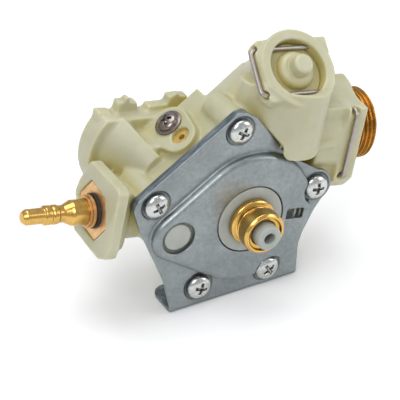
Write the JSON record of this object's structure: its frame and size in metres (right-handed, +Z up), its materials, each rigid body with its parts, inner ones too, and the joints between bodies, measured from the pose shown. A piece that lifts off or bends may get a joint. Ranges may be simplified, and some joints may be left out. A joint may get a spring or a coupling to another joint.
{
  "type": "boiler diverter valve",
  "caption": "Water-pressure operated diverter valve: nylon body on a steel bracket, brass gland with pushrod, sprung spindle, clip ports and a threaded outlet.",
  "frame": {"origin": "on the underside of the bracket's foot, midway between its front and back edges, directly below the pushrod's axis", "axes": "+Z up; +Y from the gland side to the rear port; +X from the spindle side to the outlet side. The moulded body leans 12 degrees about Y on its bracket"},
  "size_m": [0.1394, 0.0551, 0.0951],
  "materials": {
    "nylon": "natural glass-filled nylon, slightly translucent",
    "galvanised_steel": "galvanised sheet, mottled",
    "zinc_screw": "bright zinc",
    "white_acetal": "moulded white plastic",
    "rubber": "EPDM",
    "brass": "turned bright brass",
    "satin_brass": "stamped satin brass",
    "thread_brass": "turned brass, screw-cut",
    "spring_steel": "drawn spring steel",
    "clip_wire": "drawn stainless wire",
    "fibre": "pressed fibre",
    "dark_steel": "dark passivated steel",
    "amber_plastic": "moulded amber plastic"
  },
  "bodies": {
    "root": {"valve_body": "nylon", "cover_bracket": "galvanised_steel", "cover_screws": "zinc_screw", "diaphragm_cover": "white_acetal", "diaphragm": "rubber", "gland_nut": "brass", "gland_o_ring": "rubber", "return_spring": "spring_steel", "front_seat": "brass", "rear_seat": "brass", "spindle_gland": "satin_brass", "spindle_o_ring": "rubber", "spindle_wiper": "rubber", "spindle_spring": "spring_steel", "gland_fork": "spring_steel", "blanking_plug": "nylon", "plug_o_ring": "rubber", "outlet_nipple": "thread_brass", "nipple_o_ring": "rubber", "port_washer": "fibre", "side_screw": "dark_steel", "bypass_cartridge": "amber_plastic"},
    "pushrod_body": {"pushrod": "white_acetal", "diaphragm_plate": "white_acetal", "plunger_seal": "rubber"},
    "spindle_body": {"spindle": "brass"},
    "top_clip_body": {"top_clip": "clip_wire"},
    "outlet_clip_body": {"outlet_clip": "clip_wire"},
    "port_clip_body": {"port_clip": "clip_wire"}
  },
  "joints": [
    {"name": "pushrod_slide", "type": "slide", "parent": "root", "child": "pushrod_body", "axis": [0, -1, 0], "range_m": [0, 0.004], "stiffness_N_per_m": 600, "springref_m": -0.004, "deforming": ["return_spring", "diaphragm"]},
    {"name": "spindle_slide", "type": "slide", "parent": "root", "child": "spindle_body", "axis": [0.9781, 0, -0.2079], "range_m": [0, 0.005], "stiffness_N_per_m": 800, "springref_m": -0.003, "deforming": ["spindle_spring"]},
    {"name": "top_clip_slide", "type": "slide", "parent": "root", "child": "top_clip_body", "axis": [-0.9781, 0, 0.2079], "range_m": [0, 0.028]},
    {"name": "outlet_clip_slide", "type": "slide", "parent": "root", "child": "outlet_clip_body", "axis": [0, -1, 0], "range_m": [0, 0.027]},
    {"name": "port_clip_slide", "type": "slide", "parent": "root", "child": "port_clip_body", "axis": [-0.2079, 0, -0.9781], "range_m": [0, 0.034]}
  ]
}
